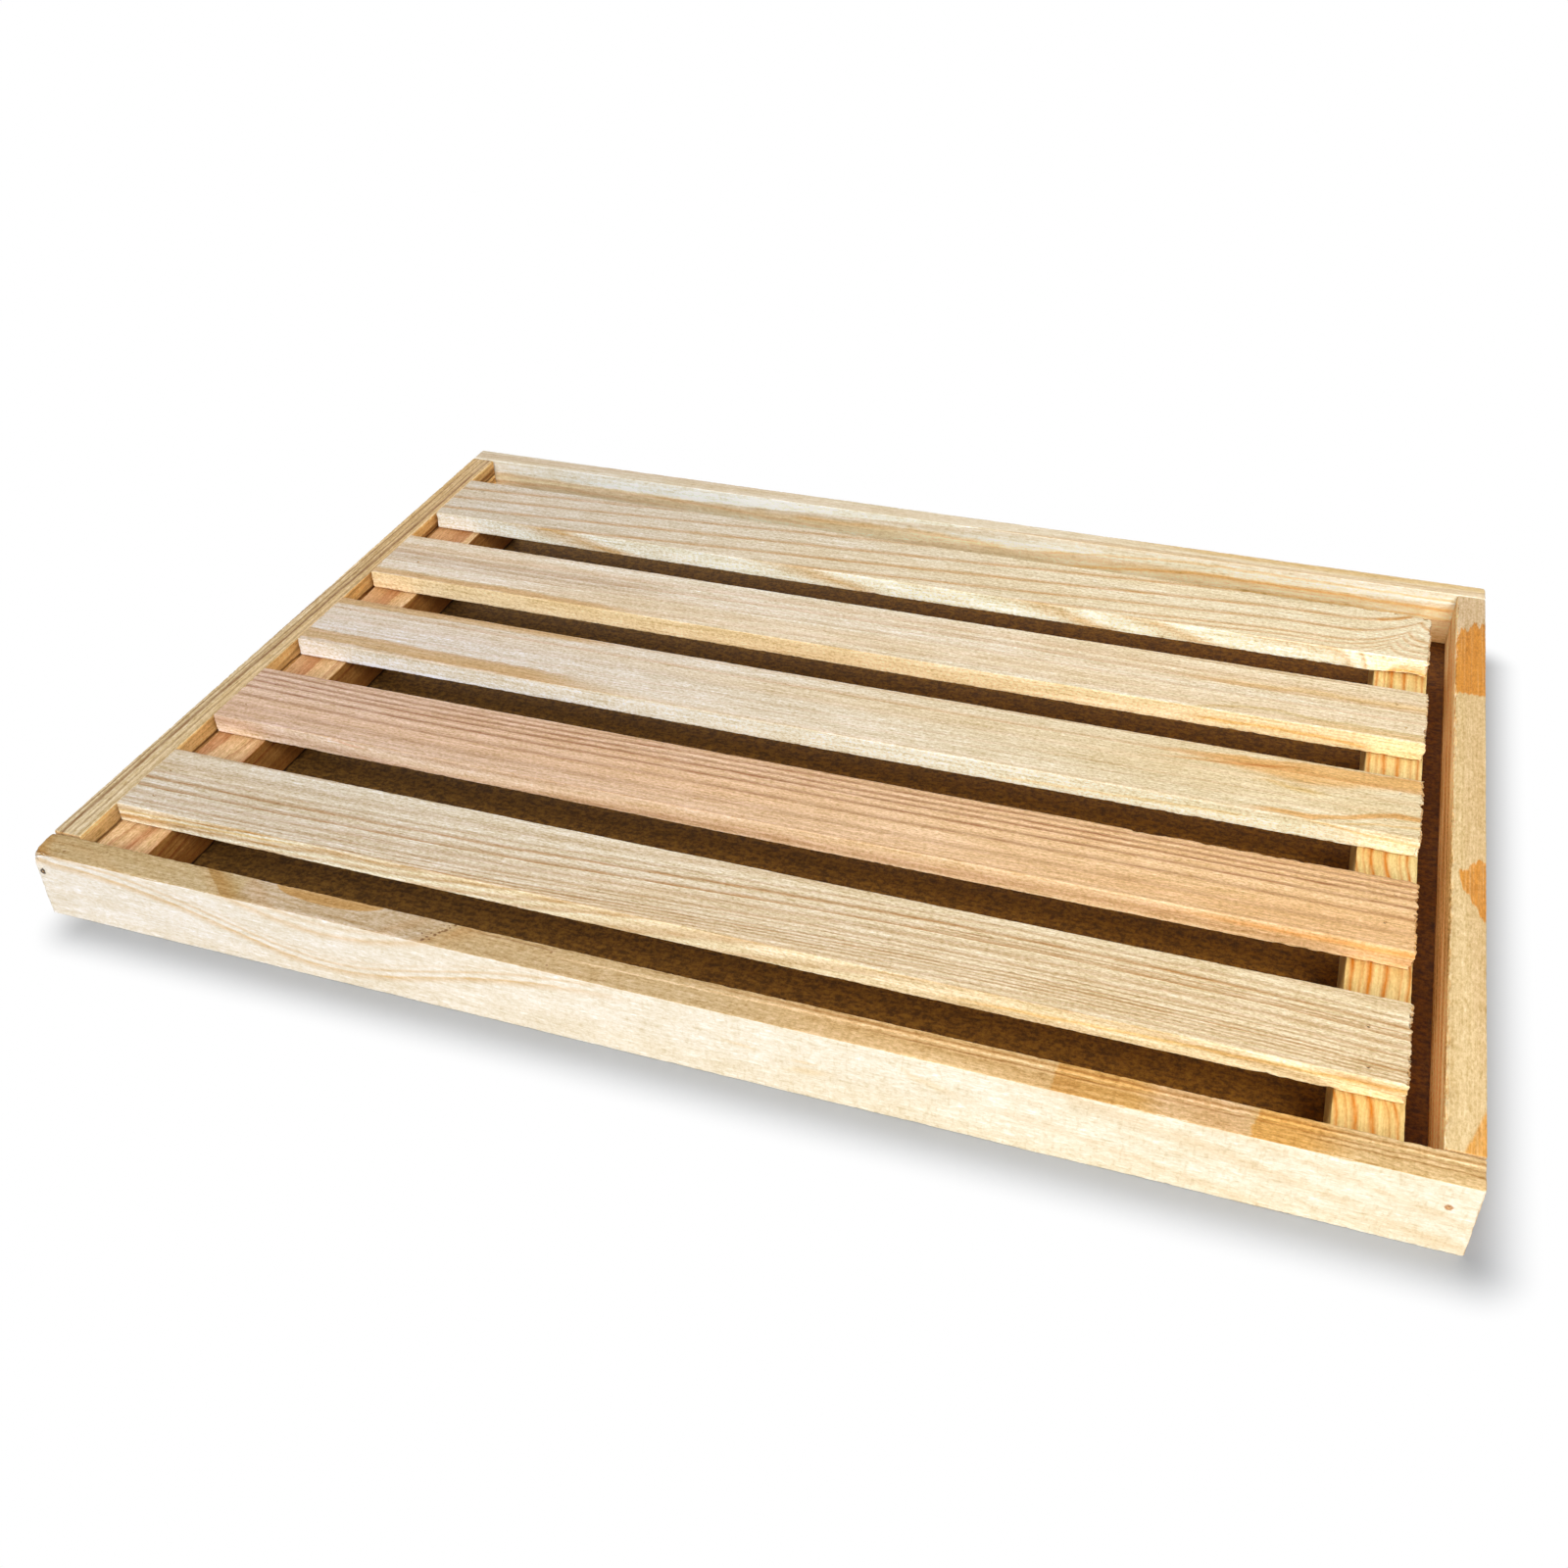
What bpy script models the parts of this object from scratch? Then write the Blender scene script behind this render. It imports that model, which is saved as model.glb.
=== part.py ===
"""Bread board with a crumb catcher: a slatted grid that lifts out of a shallow wooden tray.

Lengths are in metres. +X runs along the front from left to right, +Y to the back, +Z up,
and the origin is on the ground under the middle of the tray.
"""

import math

import bmesh
import bpy
from mathutils import Matrix, Vector

# Tray rails
TRAY_WIDTH = 0.400
TRAY_DEPTH = 0.283
RAIL_HEIGHT = 0.0235
FRONT_RAIL_THICKNESS = 0.0100
SIDE_RAIL_THICKNESS = 0.0095
BACK_RAIL_THICKNESS = 0.0075

# Base panel, let into a rebate that runs round the inner foot of the rails
PANEL_THICKNESS = 0.0025
PANEL_RECESS = 0.0003
REBATE_DEPTH = 0.0045

# Lift-out grid: slats on two battens, loose in the tray
SLAT_COUNT = 5
SLAT_WIDTH = 0.0296
SLAT_THICKNESS = 0.0067
BATTEN_HEIGHT = 0.0164
LEFT_BATTEN_WIDTH = 0.0178
RIGHT_BATTEN_WIDTH = 0.0170
LEFT_PLAY = 0.0027
RIGHT_PLAY = 0.0080
BATTEN_FRONT_PLAY = 0.0015
FRONT_CRUMB_GAP = 0.0146
BACK_CRUMB_GAP = 0.0246

# Brads: headless steel pins, each sunk a little below the face that it is driven through
BRAD_RADIUS = 0.0006
BRAD_POINT = 0.0015
BRAD_RECESS = 0.0005
BRAD_TIP_COVER = 0.0050
CORNER_BRAD_BITE = 0.0130
PANEL_PIN_BITE = 0.0090

# Fits: the clearance between pieces that touch, and the softened sawn edges
JOINT_GAP = 0.0003
ARRIS = 0.0004
CUT_OVERRUN = 0.0010

# Driven by hand, so no two alike: the left and the right pair of each slat, counted from the
# middle of the crossing as shares of the batten's width and of the slat's width
SLAT_BRAD_SHARES = (
    (((-0.15, 0.14), (0.01, -0.28)), ((-0.14, 0.10), (-0.10, -0.38))),
    (((0.06, 0.23), (-0.10, -0.21)), ((0.12, 0.25), (-0.02, -0.17))),
    (((-0.05, 0.26), (0.10, -0.24)), ((0.08, 0.21), (-0.12, -0.27))),
    (((-0.12, 0.28), (0.26, -0.11)), ((-0.08, 0.19), (0.11, -0.25))),
    (((0.04, 0.22), (-0.07, -0.26)), ((-0.02, 0.37), (0.06, -0.20))),
)

# From a side rail's outer face as a share of its thickness, and up the rail as a share of its height
CORNER_BRAD_SHARES = {
    ("left", "front"): (0.23, 0.70),
    ("left", "back"): (0.48, 0.62),
    ("right", "front"): (0.69, 0.66),
    ("right", "back"): (0.52, 0.60),
}

# Along the inside of the tray, from its middle, as shares of its inner width and depth
PANEL_PIN_LONG_SHARES = (-0.44, -0.15, 0.15, 0.44)
PANEL_PIN_SHORT_SHARES = (-0.32, 0.0, 0.32)

BRAD_SIDES = 10
SMOOTH_ANGLE = math.radians(40)

# Inside faces of the tray
INNER_LEFT = -TRAY_WIDTH / 2 + SIDE_RAIL_THICKNESS
INNER_RIGHT = TRAY_WIDTH / 2 - SIDE_RAIL_THICKNESS
INNER_FRONT = -TRAY_DEPTH / 2 + FRONT_RAIL_THICKNESS
INNER_BACK = TRAY_DEPTH / 2 - BACK_RAIL_THICKNESS

# Levels, from the ground up
PANEL_TOP = PANEL_RECESS + PANEL_THICKNESS
BATTEN_FOOT = PANEL_TOP + JOINT_GAP
BATTEN_TOP = BATTEN_FOOT + BATTEN_HEIGHT
SLAT_FOOT = BATTEN_TOP + JOINT_GAP
SLAT_TOP = SLAT_FOOT + SLAT_THICKNESS

# Ends of the slats and the battens, which stop flush with the back slat's back edge
GRID_LEFT = INNER_LEFT + LEFT_PLAY
GRID_RIGHT = INNER_RIGHT - RIGHT_PLAY
GRID_FRONT = INNER_FRONT + BATTEN_FRONT_PLAY
GRID_BACK = INNER_BACK - BACK_CRUMB_GAP

# Linear colour, roughness and metallic value of each piece
PINE = {
    "front_rail": ((0.82, 0.68, 0.45), 0.62),
    "back_rail": ((0.76, 0.60, 0.38), 0.62),
    "left_rail": ((0.66, 0.45, 0.22), 0.62),
    "right_rail": ((0.58, 0.42, 0.22), 0.62),
    "left_batten": ((0.76, 0.50, 0.28), 0.60),
    "right_batten": ((0.80, 0.58, 0.28), 0.60),
    "slat_1": ((0.72, 0.56, 0.37), 0.60),
    "slat_2": ((0.70, 0.44, 0.30), 0.60),
    "slat_3": ((0.74, 0.60, 0.42), 0.60),
    "slat_4": ((0.70, 0.60, 0.45), 0.60),
    "slat_5": ((0.76, 0.61, 0.40), 0.60),
}
FIBREBOARD = ((0.15, 0.10, 0.045), 0.80)
BRIGHT_STEEL = ((0.52, 0.51, 0.50), 0.35)


def clear_scene():
    for thing in list(bpy.data.objects):
        bpy.data.objects.remove(thing, do_unlink=True)


def make_material(name, look, metallic):
    colour, roughness = look
    material = bpy.data.materials.new(name)
    material.use_nodes = True
    shader = material.node_tree.nodes["Principled BSDF"]
    shader.inputs["Base Color"].default_value = (*colour, 1.0)
    shader.inputs["Roughness"].default_value = roughness
    shader.inputs["Metallic"].default_value = metallic
    return material


def add_base(name, place):
    """An empty that carries the pieces of one body."""
    base = bpy.data.objects.new(name, None)
    base.location = place
    bpy.context.scene.collection.objects.link(base)
    return base


def finish_mesh(name, shape, material=None):
    """Turn a finished bmesh into a mesh, with its material if it is not a cutter."""
    mesh = bpy.data.meshes.new(name)
    shape.to_mesh(mesh)
    shape.free()
    if material:
        mesh.materials.append(material)
    return mesh


def add_piece(name, mesh, place, base):
    """An object at a world place, under its body's empty."""
    piece = bpy.data.objects.new(name, mesh)
    piece.parent = base
    piece.location = place - base.location
    bpy.context.scene.collection.objects.link(piece)
    return piece


def make_block(low, high):
    """A block about its own middle, and that middle."""
    shape = bmesh.new()
    bmesh.ops.create_cube(shape, size=1.0, matrix=Matrix.Diagonal(high - low).to_4x4())
    return shape, (low + high) / 2


def add_board(name, low, high, base, look=None):
    """A straight board between two corners, its edges softened."""
    shape, middle = make_block(Vector(low), Vector(high))
    material = make_material(name, look or PINE[name], metallic=0.0)
    board = add_piece(name, finish_mesh(name, shape, material), middle, base)
    arris = board.modifiers.new("softened edges", "BEVEL")
    arris.width = ARRIS
    arris.segments = 1
    return board


def turn_profile(shape, profile, place):
    """Add a closed turned body to a bmesh: (radius, height) pairs up the axis of place."""
    rings = []
    for radius, height in profile:
        ring = []
        for turn in range(BRAD_SIDES if radius else 1):
            angle = math.tau * turn / BRAD_SIDES
            point = Vector((radius * math.cos(angle), radius * math.sin(angle), height))
            ring.append(shape.verts.new(place @ point))
        rings.append(ring)
    for near, far in zip(rings, rings[1:]):
        for turn in range(BRAD_SIDES):
            after = (turn + 1) % BRAD_SIDES
            far_side = [far[after], far[turn]] if len(far) > 1 else far
            shape.faces.new([near[turn], near[after], *far_side])
    for ring in (rings[0], rings[-1]):
        if len(ring) > 1:
            shape.faces.new(ring)
    bmesh.ops.recalc_face_normals(shape, faces=shape.faces)


def add_cutter(name, shape, place, base):
    cutter = add_piece(name, finish_mesh(name, shape), place, base)
    cutter.hide_render = True
    cutter.display_type = "WIRE"
    return cutter


def cut(board, cutter):
    step = board.modifiers.new(cutter.name, "BOOLEAN")
    step.operation = "DIFFERENCE"
    step.solver = "EXACT"
    step.object = cutter


def drive_brads(kind, heads, direction, length, base, boards):
    """Drive like brads, whose heads are named places, and bore their holes in the boards."""
    tilt = Vector((0, 0, 1)).rotation_difference(Vector(direction))
    pin = bmesh.new()
    outline = [(BRAD_RADIUS, 0), (BRAD_RADIUS, length - BRAD_POINT), (0, length)]
    turn_profile(pin, outline, Matrix.Identity(4))
    mesh = finish_mesh(kind, pin, make_material(kind, BRIGHT_STEEL, metallic=1.0))
    mesh.shade_smooth()
    mesh.set_sharp_from_angle(angle=SMOOTH_ANGLE)

    bore = BRAD_RADIUS + JOINT_GAP
    hole = [(bore, -BRAD_RECESS - CUT_OVERRUN), (bore, length + JOINT_GAP)]
    holes = bmesh.new()
    for name, head in heads.items():
        brad = add_piece(name, mesh, Vector(head), base)
        brad.rotation_euler = tilt.to_euler()
        turn_profile(holes, hole, Matrix.LocRotScale(Vector(head) - base.location, tilt, None))
    cutter = add_cutter(kind + "_holes", holes, base.location, base)
    for board in boards:
        cut(board, cutter)


def build_rails(tray):
    """Front and back rails run the full width, and the side rails butt between them."""
    left, right = -TRAY_WIDTH / 2, TRAY_WIDTH / 2
    front, back = -TRAY_DEPTH / 2, TRAY_DEPTH / 2
    side_front = INNER_FRONT + JOINT_GAP
    side_back = INNER_BACK - JOINT_GAP
    corners = {
        "front_rail": ((left, front, 0), (right, INNER_FRONT, RAIL_HEIGHT)),
        "back_rail": ((left, INNER_BACK, 0), (right, back, RAIL_HEIGHT)),
        "left_rail": ((left, side_front, 0), (INNER_LEFT, side_back, RAIL_HEIGHT)),
        "right_rail": ((INNER_RIGHT, side_front, 0), (right, side_back, RAIL_HEIGHT)),
    }
    return {name: add_board(name, low, high, tray) for name, (low, high) in corners.items()}


def build_panel(tray, rails):
    """The crumb catcher's floor, and the stopped rebate that takes it."""
    reach = Vector((REBATE_DEPTH, REBATE_DEPTH, 0))
    fit = Vector((JOINT_GAP, JOINT_GAP, 0))
    low = Vector((INNER_LEFT, INNER_FRONT, PANEL_RECESS)) - reach
    high = Vector((INNER_RIGHT, INNER_BACK, PANEL_TOP)) + reach
    panel = add_board("base_panel", low + fit, high - fit, tray, FIBREBOARD)
    low.z = -CUT_OVERRUN
    high.z = PANEL_TOP + JOINT_GAP
    shape, middle = make_block(low, high)
    rebate = add_cutter("rebate", shape, middle, tray)
    for rail in rails.values():
        cut(rail, rebate)
    return panel


def build_corner_brads(tray, rails):
    """A brad at each corner, through the front or the back rail into a side rail's end."""
    for end, inward, thickness in (
        ("front", 1, FRONT_RAIL_THICKNESS),
        ("back", -1, BACK_RAIL_THICKNESS),
    ):
        heads = {}
        for side, outward in (("left", -1), ("right", 1)):
            across_share, up_share = CORNER_BRAD_SHARES[side, end]
            x = outward * (TRAY_WIDTH / 2 - SIDE_RAIL_THICKNESS * across_share)
            y = -inward * (TRAY_DEPTH / 2 - BRAD_RECESS)
            heads[f"corner_brad_{end}_{side}"] = (x, y, RAIL_HEIGHT * up_share)
        length = thickness - BRAD_RECESS + JOINT_GAP + CORNER_BRAD_BITE
        drilled = [rails[end + "_rail"], rails["left_rail"], rails["right_rail"]]
        drive_brads(f"corner_brad_{end}", heads, (0, inward, 0), length, tray, drilled)


def build_panel_pins(tray, panel, rails):
    """Pins up through the panel's rim, into the wood above the rebate."""
    rim = (REBATE_DEPTH - JOINT_GAP) / 2
    middle_x = (INNER_LEFT + INNER_RIGHT) / 2
    middle_y = (INNER_FRONT + INNER_BACK) / 2
    places = []
    for share in PANEL_PIN_LONG_SHARES:
        x = middle_x + share * (INNER_RIGHT - INNER_LEFT)
        places += [(x, INNER_FRONT - rim), (x, INNER_BACK + rim)]
    for share in PANEL_PIN_SHORT_SHARES:
        y = middle_y + share * (INNER_BACK - INNER_FRONT)
        places += [(INNER_LEFT - rim, y), (INNER_RIGHT + rim, y)]
    head = PANEL_RECESS + BRAD_RECESS
    heads = {f"panel_pin_{index + 1}": (x, y, head) for index, (x, y) in enumerate(places)}
    length = PANEL_THICKNESS - BRAD_RECESS + JOINT_GAP + PANEL_PIN_BITE
    drive_brads("panel_pin", heads, (0, 0, 1), length, tray, [panel, *rails.values()])


def build_battens(grid):
    """Two battens on the panel, flush with the ends of the slats above them."""
    left = add_board(
        "left_batten",
        (GRID_LEFT, GRID_FRONT, BATTEN_FOOT),
        (GRID_LEFT + LEFT_BATTEN_WIDTH, GRID_BACK, BATTEN_TOP),
        grid,
    )
    right = add_board(
        "right_batten",
        (GRID_RIGHT - RIGHT_BATTEN_WIDTH, GRID_FRONT, BATTEN_FOOT),
        (GRID_RIGHT, GRID_BACK, BATTEN_TOP),
        grid,
    )
    return left, right


def build_slats(grid, battens):
    """Slats at an even pitch, each held to both battens by two brads at each crossing."""
    first = INNER_FRONT + FRONT_CRUMB_GAP
    last = GRID_BACK - SLAT_WIDTH
    pitch = (last - first) / (SLAT_COUNT - 1)
    crossings = (
        ("left", GRID_LEFT + LEFT_BATTEN_WIDTH / 2, LEFT_BATTEN_WIDTH),
        ("right", GRID_RIGHT - RIGHT_BATTEN_WIDTH / 2, RIGHT_BATTEN_WIDTH),
    )
    slats = []
    heads = {}
    for index in range(SLAT_COUNT):
        name = f"slat_{index + 1}"
        front = first + pitch * index
        low = (GRID_LEFT, front, SLAT_FOOT)
        high = (GRID_RIGHT, front + SLAT_WIDTH, SLAT_TOP)
        slats.append(add_board(name, low, high, grid, PINE.get(name, PINE["slat_1"])))
        pairs = SLAT_BRAD_SHARES[index % len(SLAT_BRAD_SHARES)]
        for (side, middle, batten_width), pair in zip(crossings, pairs):
            for number, (x_share, y_share) in enumerate(pair):
                x = middle + batten_width * x_share
                y = front + SLAT_WIDTH / 2 + SLAT_WIDTH * y_share
                heads[f"{name}_brad_{side}_{number + 1}"] = (x, y, SLAT_TOP - BRAD_RECESS)
    length = SLAT_THICKNESS - BRAD_RECESS + JOINT_GAP + BATTEN_HEIGHT - BRAD_TIP_COVER
    drive_brads("slat_brad", heads, (0, 0, -1), length, grid, [*slats, *battens])


def build_tray():
    tray = add_base("tray_base", Vector((0, 0, 0)))
    rails = build_rails(tray)
    panel = build_panel(tray, rails)
    build_corner_brads(tray, rails)
    build_panel_pins(tray, panel, rails)


def build_grid():
    """The grid lifts straight up, so its empty stands on the panel under its middle."""
    middle = Vector(((GRID_LEFT + GRID_RIGHT) / 2, (GRID_FRONT + GRID_BACK) / 2, BATTEN_FOOT))
    grid = add_base("grid_base", middle)
    battens = build_battens(grid)
    build_slats(grid, battens)


clear_scene()
build_tray()
build_grid()
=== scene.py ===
import math
import random

import bmesh
import bpy
from mathutils import Euler, Matrix, Vector, noise


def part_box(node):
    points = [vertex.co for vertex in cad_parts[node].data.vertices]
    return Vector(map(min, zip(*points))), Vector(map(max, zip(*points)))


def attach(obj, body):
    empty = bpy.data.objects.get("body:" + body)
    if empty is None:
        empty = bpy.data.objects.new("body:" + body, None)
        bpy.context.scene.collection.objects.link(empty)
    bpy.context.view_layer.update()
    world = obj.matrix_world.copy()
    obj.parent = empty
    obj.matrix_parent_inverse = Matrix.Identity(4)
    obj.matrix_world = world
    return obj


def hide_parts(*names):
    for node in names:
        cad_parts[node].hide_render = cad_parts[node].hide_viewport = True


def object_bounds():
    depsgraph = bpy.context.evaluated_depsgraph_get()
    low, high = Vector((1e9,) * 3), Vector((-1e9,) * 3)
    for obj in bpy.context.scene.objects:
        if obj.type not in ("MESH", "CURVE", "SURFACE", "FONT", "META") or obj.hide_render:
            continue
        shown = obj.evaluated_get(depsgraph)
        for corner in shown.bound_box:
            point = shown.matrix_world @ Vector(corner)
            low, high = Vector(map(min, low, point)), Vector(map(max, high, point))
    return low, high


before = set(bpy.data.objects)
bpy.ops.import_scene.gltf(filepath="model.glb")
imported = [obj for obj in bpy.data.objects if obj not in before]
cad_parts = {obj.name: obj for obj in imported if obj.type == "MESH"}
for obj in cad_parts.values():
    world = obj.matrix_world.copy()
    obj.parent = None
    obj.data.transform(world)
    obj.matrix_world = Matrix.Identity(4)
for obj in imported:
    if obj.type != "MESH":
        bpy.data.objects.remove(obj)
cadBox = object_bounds()
mm = 0.001
print("frame loaded:", len(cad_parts), "nodes")


# Shader expressions

def tint(red, green, blue):
    # a screen colour, 0 to 255, as the linear colour a shader takes
    def linear(part):
        part = part / 255
        return part / 12.92 if part <= 0.04045 else ((part + 0.055) / 1.055) ** 2.4
    return (linear(red), linear(green), linear(blue), 1.0)


class Wire:
    def __init__(self, graph, socket):
        self.graph = graph
        self.socket = socket

    def other(self, name):
        return Wire(self.graph, self.socket.node.outputs[name])

    def __add__(self, value):
        return self.graph.maths("ADD", self, value)

    def __sub__(self, value):
        return self.graph.maths("SUBTRACT", self, value)

    def __rsub__(self, value):
        return self.graph.maths("SUBTRACT", value, self)

    def __mul__(self, value):
        return self.graph.maths("MULTIPLY", self, value)

    def __truediv__(self, value):
        return self.graph.maths("DIVIDE", self, value)

    def __pow__(self, value):
        return self.graph.maths("POWER", self, value)

    __radd__ = __add__
    __rmul__ = __mul__


class Graph:
    def __init__(self, owner):
        # the nodes of a material or of the world
        self.owner = owner
        owner.use_nodes = True
        self.tree = owner.node_tree
        self.tree.nodes.clear()

    def node(self, kind, settings=None, sockets=None, output=0):
        made = self.tree.nodes.new("ShaderNode" + kind)
        for key, value in (settings or {}).items():
            if key == "stops":
                for place, colour in value:
                    stop = made.color_ramp.elements.new(place)
                    stop.color = colour
                made.color_ramp.elements.remove(made.color_ramp.elements[0])
                made.color_ramp.elements.remove(made.color_ramp.elements[-1])
            else:
                setattr(made, key, value)
        for key, value in (sockets or {}).items():
            if isinstance(value, Wire):
                self.tree.links.new(value.socket, made.inputs[key])
            else:
                made.inputs[key].default_value = value
        return Wire(self, made.outputs[output])

    def maths(self, operation, *values):
        return self.node("Math", {"operation": operation}, dict(enumerate(values)))

    def vectors(self, operation, *values, output=0):
        return self.node("VectorMath", {"operation": operation}, dict(enumerate(values)), output)

    def axes(self, vector):
        x = self.node("SeparateXYZ", None, {0: vector})
        return x, x.other("Y"), x.other("Z")

    def step(self, value, start, end):
        # 0 below start, 1 above end, smooth between them
        sockets = {"Value": value, "From Min": start, "From Max": end}
        return self.node("MapRange", {"interpolation_type": "SMOOTHSTEP"}, sockets)

    def slope(self, value, start, end, low, high):
        # from low to high as value goes from start to end, and level outside
        return self.node("MapRange", None, {"Value": value, "From Min": start, "From Max": end,
                                            "To Min": low, "To Max": high})

    def mix(self, share, first, second, kind="MIX"):
        settings = {"data_type": "RGBA", "blend_type": kind}
        return self.node("Mix", settings, {0: share, 6: first, 7: second}, output=2)

    def tone(self, colour, gain, share=1.0):
        # a colour times a gain for each of red, green and blue
        gain = gain if isinstance(gain, Wire) else (*gain, 1.0)
        return self.mix(share, colour, gain, "MULTIPLY")

    def cloud(self, along, across, up, seed, detail=2.0, rough=0.5):
        # a 3-D noise, 0 to 1, of three already scaled lengths
        vector = self.node("CombineXYZ", None, {0: along + seed, 1: across, 2: up})
        sockets = {"Vector": vector, "Scale": 1.0, "Detail": detail, "Roughness": rough}
        return self.node("TexNoise", {"noise_dimensions": "3D"}, sockets)

    def finish(self, shader):
        kind = "World" if isinstance(self.owner, bpy.types.World) else "Material"
        made = self.tree.nodes.new("ShaderNodeOutput" + kind)
        self.tree.links.new(shader.socket, made.inputs["Surface"])
        return self.owner


# Wood: growth rings round a pith line, cut by the board's faces

reliefDepth = 0.34 * mm
squarely = (0.5, 0.8)    # how squarely a face looks one way before it counts as facing that way
woodBase = {
    "pale": (224, 206, 178),      # early wood
    "line": (182, 138, 86),       # late wood, the thin dark lines
    "warm": (212, 176, 128),      # broad streaks along the grain
    "warmShare": 0.5,
    "endTone": (206, 160, 104),   # cut ends
    "endShare": 0.6,
    "pith": (60, 30),             # across and up from the board's middle, mm
    "tilt": (0.0, 0.0),           # how the pith drifts along the board
    "bends": [],                  # (along, size, across, up, slant) in mm: the grain swings aside there
    "rings": [],                  # groups of known lines (place, width, strength), on the top or a "face"
    "ring": 2.6,                  # one year's growth in the fainter grain between them, mm
    "lineWidth": 0.4,             # share of a ring that is late wood
    "lineStrength": 0.4,
    "wander": 0.9,                # mm
    "bunch": 1.6,
    "streak": 0.26,
    "faceStreaks": {},            # more of them on a face
    "faceGrit": {},
    "fibre": 0.4,
    "grit": 0.62,
    "fleck": 0.45,                # short dark dashes
    "spark": 0.45,                # short pale ones
    "bands": 0.14,                # soft bands along the grain
    "ripple": 0.0,                # faint marks of the planer's knife
    "mottle": 0.16,
    "faces": {},                  # painted light and shade: how much brighter a face is, red, green and blue, as it lies to the light
    # painted highlight along the rounded edges, partly rubbed wear
    "arrisHighlightAndWear": (1.3, 1.25, 1.14),
    "cast": ((0.98, 0.985, 1.03), (1.05, 1.01, 0.88)),   # painted light along the board: the left end's and the right end's gain
    "patches": {},                # streaks, stains and lenses by face, and bands of painted light and shade
    "dots": [],                   # (face, along, level, radius, gain): brad holes and small marks
    "saw": 0.0,                   # faint cross marks of the saw
    "rough": 0.62,
    "grainSeed": 1.0,
}


def streak(path, width, gain, **more):
    # a band that follows a path of places (along, level), in mm
    return {"path": path, "width": width, "gain": gain, **more}


def cornerPatch(corners, gain, **more):
    # a convex patch with its corners anticlockwise, in mm, for stains and for painted light
    return {"corners": corners, "gain": gain, **more}


def patchMask(g, face, patch, spot, facing):
    # how much of a streak, stain, lens or band of painted light or shade shows at a place; a lens
    # hangs from an edge, with its middle, half length, level and depth in mm
    level = spot["across"] if face in ("top", "bottom") else spot["up"]
    level = level + spot["drift"] * patch.get("wobble", 1.0)
    run = spot["along"]
    soft = patch.get("soft", 0.6)
    fray = patch.get("fray", 0.0)
    mask = facing[face]
    if patch.get("streaky"):
        mask = mask * (1 - g.step(spot["fibre"], 0.45, 0.8) * patch["streaky"])
    if "corners" in patch:
        corners = patch["corners"]
        softs = patch.get("softs", [soft] * len(corners))
        frays = patch.get("frays", [fray] * len(corners))
        for number, (along, height) in enumerate(corners):
            nextAlong, nextHeight = corners[(number + 1) % len(corners)]
            length = math.hypot(nextAlong - along, nextHeight - height)
            east, north = (nextAlong - along) / length, (nextHeight - height) / length
            inside = (level - height) * east - (run + spot["torn"] * frays[number] - along) * north
            mask = mask * g.step(inside, -softs[number], softs[number])
    elif "lens" in patch:
        middle, half, edgeLevel, deep = patch["lens"]
        run = run + spot["torn"] * fray
        reach = ((run - middle) / half) ** 2 + ((level - edgeLevel) / deep) ** 2
        mask = mask * (1 - g.step(reach, 1 - soft * 0.3, 1 + soft * 0.3))
    else:
        path, width = patch["path"], patch["width"]
        middle = path[0][1]
        for (start, low), (end, high) in zip(path, path[1:]):
            middle = g.slope(run, start, end, 0.0, high - low) + middle
        away = g.maths("ABSOLUTE", level - middle)
        mask = mask * (1 - g.step(away, max(0, width / 2 - soft), width / 2 + soft))
        fadeIn, fadeOut = patch.get("fades", (8, 8))
        mask = mask * g.step(run, path[0][0], path[0][0] + fadeIn)
        mask = mask * (1 - g.step(run, path[-1][0] - fadeOut, path[-1][0]))
    return mask


def ringLines(g, group, radius, along, pith, half):
    # the late wood of known rings, each named by its place on a face
    lines = []
    for place, width, strength in group["lines"]:
        flat = (-half[1], place) if group.get("face") == "right" else (place, half[2])
        lines.append((math.hypot(flat[0] - pith[0], flat[1] - pith[1]), width, strength))
    lines.sort()
    low, high = lines[0][0] - 5, lines[-1][0] + 5
    late = None
    for first in range(0, len(lines), 10):
        stops = []
        for reach, width, strength in lines[first:first + 10]:
            stops += [(reach - width, 0), (reach, strength), (reach + width * 0.6, 0)]
        stops = [((reach - low) / (high - low), (level, level, level, 1)) for reach, level in stops]
        share = g.slope(radius, low, high, 0.0, 1.0)
        ramp = g.node("ValToRGB", {"stops": stops}, {"Fac": share})
        late = g.maths("MAXIMUM", late, ramp) if late else ramp
    start, end = group.get("along", (-300, 300))
    fade = group.get("fade", 30)
    return late * g.step(along, start, start + fade) * (1 - g.step(along, end - fade, end))


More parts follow.
